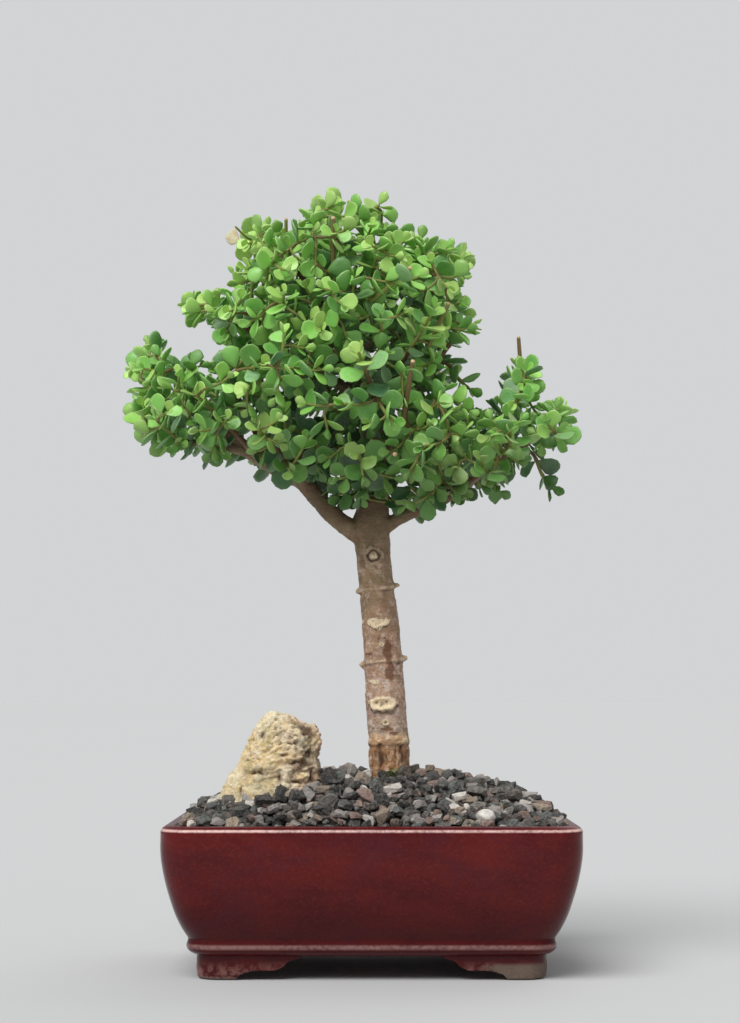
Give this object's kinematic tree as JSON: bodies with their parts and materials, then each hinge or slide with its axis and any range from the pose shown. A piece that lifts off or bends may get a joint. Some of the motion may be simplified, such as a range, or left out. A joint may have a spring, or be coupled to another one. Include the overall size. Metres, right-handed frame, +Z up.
{
  "type": "dwarf jade bonsai in a pot",
  "caption": "Small succulent bonsai tree with round leaves on a ringed trunk, in a glazed rectangular pot on bracket feet, with gravel and an accent rock.",
  "frame": {"origin": "on the ground, under the middle of the whole tree's box", "axes": "+Z up the trunk, the pot's long front faces -Y, +X to the right seen from the front"},
  "size_m": [0.2942, 0.203, 0.4997],
  "materials": {
    "glaze": "glossy mottled oxblood-red glaze, thin and pinkish on edges, bare clay under the feet",
    "gravel": "matt angular grit in grey, blue-grey, brown and tan",
    "soil": "dark granular soil",
    "quartz": "pale smooth pebble",
    "limestone": "rough pitted cream and ochre limestone",
    "bark": "matt ringed grey-brown bark",
    "foliage": "waxy satin green succulent leaves on reddish twigs",
    "screen_plastic": "black plastic mesh"
  },
  "bodies": {
    "root": {"drain_screen_left": "screen_plastic", "drain_screen_right": "screen_plastic", "gravel": "gravel", "leafy_back_left": "foliage", "leafy_back_low": "foliage", "leafy_back_low_left": "foliage", "leafy_back_low_right": "foliage", "leafy_back_middle": "foliage", "leafy_back_right": "foliage", "leafy_crown_top": "foliage", "leafy_crown_top_back": "foliage", "leafy_crown_top_front": "foliage", "leafy_front_high_left": "foliage", "leafy_front_high_right": "foliage", "leafy_front_low": "foliage", "leafy_front_low_left": "foliage", "leafy_front_middle": "foliage", "leafy_front_right": "foliage", "leafy_left_back": "foliage", "leafy_left_end": "foliage", "leafy_left_front": "foliage", "leafy_left_high": "foliage", "leafy_left_low": "foliage", "leafy_middle_left": "foliage", "leafy_middle_right": "foliage", "leafy_right_back": "foliage", "leafy_right_end": "foliage", "leafy_right_front": "foliage", "leafy_right_high": "foliage", "leafy_right_low": "foliage", "leafy_upper_back_left": "foliage", "leafy_upper_back_right": "foliage", "leafy_upper_left": "foliage", "leafy_upper_right": "foliage", "pot": "glaze", "rock": "limestone", "soil": "soil", "trunk": "bark", "white_pebble": "quartz"}
  },
  "joints": []
}
